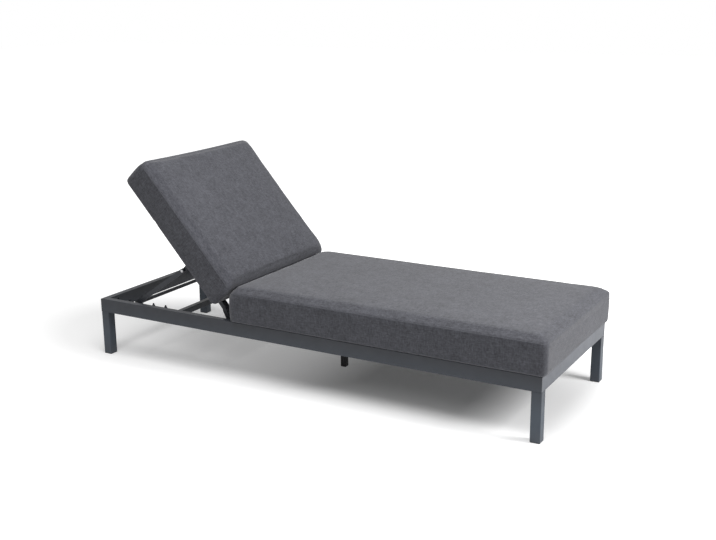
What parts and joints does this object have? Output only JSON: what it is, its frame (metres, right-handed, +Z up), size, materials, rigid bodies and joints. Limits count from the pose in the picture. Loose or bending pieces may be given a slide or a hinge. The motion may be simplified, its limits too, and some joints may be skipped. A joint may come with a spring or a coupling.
{
  "type": "sun lounger",
  "caption": "Low sun lounger with a square-legged metal frame, a thick seat cushion and a reclining back held by a ratchet stay.",
  "frame": {"origin": "on the floor, in the middle of the overall length and width", "axes": "+X towards the foot end, +Y to the far side, +Z up"},
  "size_m": [2.087, 0.76, 0.8882],
  "materials": {
    "frame": "matt graphite powder coat",
    "dark_frame": "matt black powder coat",
    "cushion_fabric": "heather charcoal woven cover",
    "black_plastic": "moulded, matt",
    "zinc_hardware": "zinc plated"
  },
  "bodies": {
    "base": {"back_rest_bar": "frame", "foot_rail": "frame", "head_rail": "frame", "hinge_bolts": "zinc_hardware", "hinge_bushes": "black_plastic", "hinge_rivet_nuts": "zinc_hardware", "leg_foot_far": "frame", "leg_foot_near": "frame", "leg_glide_foot_far": "black_plastic", "leg_glide_foot_near": "black_plastic", "leg_glide_head_far": "black_plastic", "leg_glide_head_near": "black_plastic", "leg_head_far": "frame", "leg_head_near": "frame", "middle_leg": "dark_frame", "middle_leg_glide": "black_plastic", "ratchet_strip_far": "frame", "ratchet_strip_near": "frame", "seat_bar_front": "frame", "seat_bar_middle": "frame", "seat_bar_rear": "frame", "seat_cushion": "cushion_fabric", "seat_slat_1": "frame", "seat_slat_2": "frame", "seat_slat_3": "frame", "seat_slat_4": "frame", "seat_slat_5": "frame", "side_rail_far": "frame", "side_rail_near": "frame", "slat_ledge": "frame", "strip_screws": "zinc_hardware"},
    "backrest": {"back_bottom_tube": "frame", "back_side_tube_far": "frame", "back_side_tube_near": "frame", "back_slat_1": "frame", "back_slat_2": "frame", "back_slat_3": "frame", "back_slat_4": "frame", "back_top_tube": "frame", "hinge_ears": "frame", "stay_lugs": "frame", "stay_pivot_bolts": "zinc_hardware", "stay_pivot_nuts": "zinc_hardware", "stay_pivot_washers": "zinc_hardware"},
    "stay": {"stay_arms": "frame", "stay_bar": "frame", "stay_bar_caps": "black_plastic"},
    "loose_cushion": {"back_cushion": "cushion_fabric"}
  },
  "joints": [
    {"name": "back_hinge", "type": "hinge", "parent": "base", "child": "backrest", "pos_m": [-0.3795, 0, 0.24], "axis": [0, 1, 0], "range_deg": [-48.5, 19.3]},
    {"name": "stay_hinge", "type": "hinge", "parent": "backrest", "child": "stay", "pos_m": [-0.6096, 0, 0.42764], "axis": [0, 1, 0], "range_deg": [-36.6, 91.5]},
    {"name": "cushion_slip", "type": "slide", "parent": "backrest", "child": "loose_cushion", "axis": [-0.6626, 0, 0.749], "range_m": [-0.1135, 0.0455]}
  ],
  "couplings": [
    {"joint": "stay_hinge", "follows": "back_hinge", "ratio": -1.88},
    {"joint": "cushion_slip", "follows": "back_hinge", "m_per_rad": 0.1335}
  ]
}
